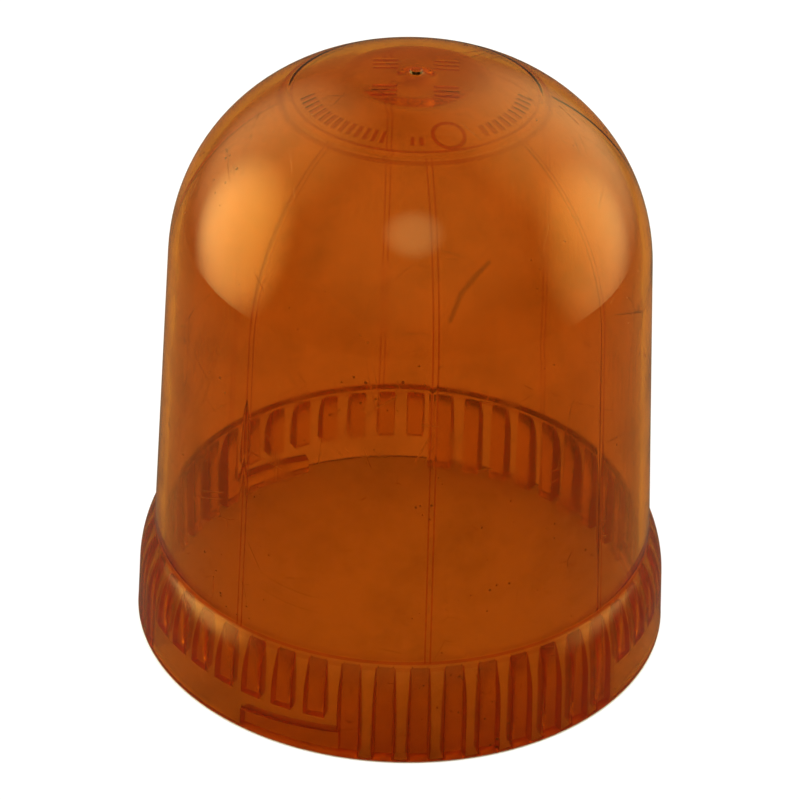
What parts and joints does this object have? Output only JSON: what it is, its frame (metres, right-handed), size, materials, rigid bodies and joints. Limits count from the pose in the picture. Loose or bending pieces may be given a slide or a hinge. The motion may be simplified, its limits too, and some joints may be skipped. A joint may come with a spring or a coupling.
{
  "type": "beacon lens",
  "caption": "Amber domed warning-beacon lens, one thin moulding, open at the bottom, with a ribbed bayonet collar inside its rim.",
  "frame": {"origin": "centre of the open rim, in the plane the rim stands on", "axes": "+Z along the lens axis, from the rim to the crown; -Y through the side 23.4 degrees anticlockwise, seen from above, of the middle of the first bayonet lug"},
  "size_m": [0.142, 0.142, 0.1579],
  "materials": {
    "amber_polycarbonate": "clear amber polycarbonate, gloss, lightly scratched"
  },
  "bodies": {
    "root": {"lens": "amber_polycarbonate"}
  },
  "joints": []
}
